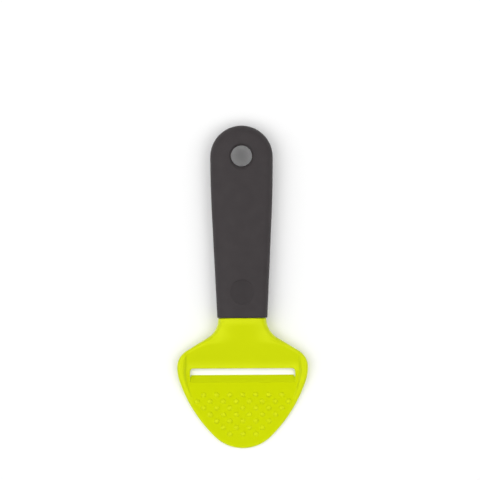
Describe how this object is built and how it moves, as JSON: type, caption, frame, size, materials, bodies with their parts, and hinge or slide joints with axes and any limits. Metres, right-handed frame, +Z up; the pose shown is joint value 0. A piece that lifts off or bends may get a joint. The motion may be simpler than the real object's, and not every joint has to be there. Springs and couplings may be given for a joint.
{
  "type": "cheese slicer",
  "caption": "One-hand plastic cheese slicer: moulded green head with a cutting slot, sloped lip and low domes, on a dark soft-touch handle with a thumb dish and hanging hole.",
  "frame": {"origin": "centre of the tool's length and width, on the surface that it rests on", "axes": "+Y from the head's tip to the handle's end, +Z up out of the face with the domes, +X to the right seen from above with the handle away from the viewer"},
  "size_m": [0.0786, 0.1936, 0.0163],
  "materials": {
    "lime_nylon": "semi-gloss moulded nylon, lime green",
    "grey_core": "plain moulded polypropylene, not seen",
    "grey_soft_touch": "matt soft-touch skin, warm dark grey"
  },
  "bodies": {
    "root": {"slicer_head": "lime_nylon", "handle_core": "grey_core", "soft_grip": "grey_soft_touch"}
  },
  "joints": []
}
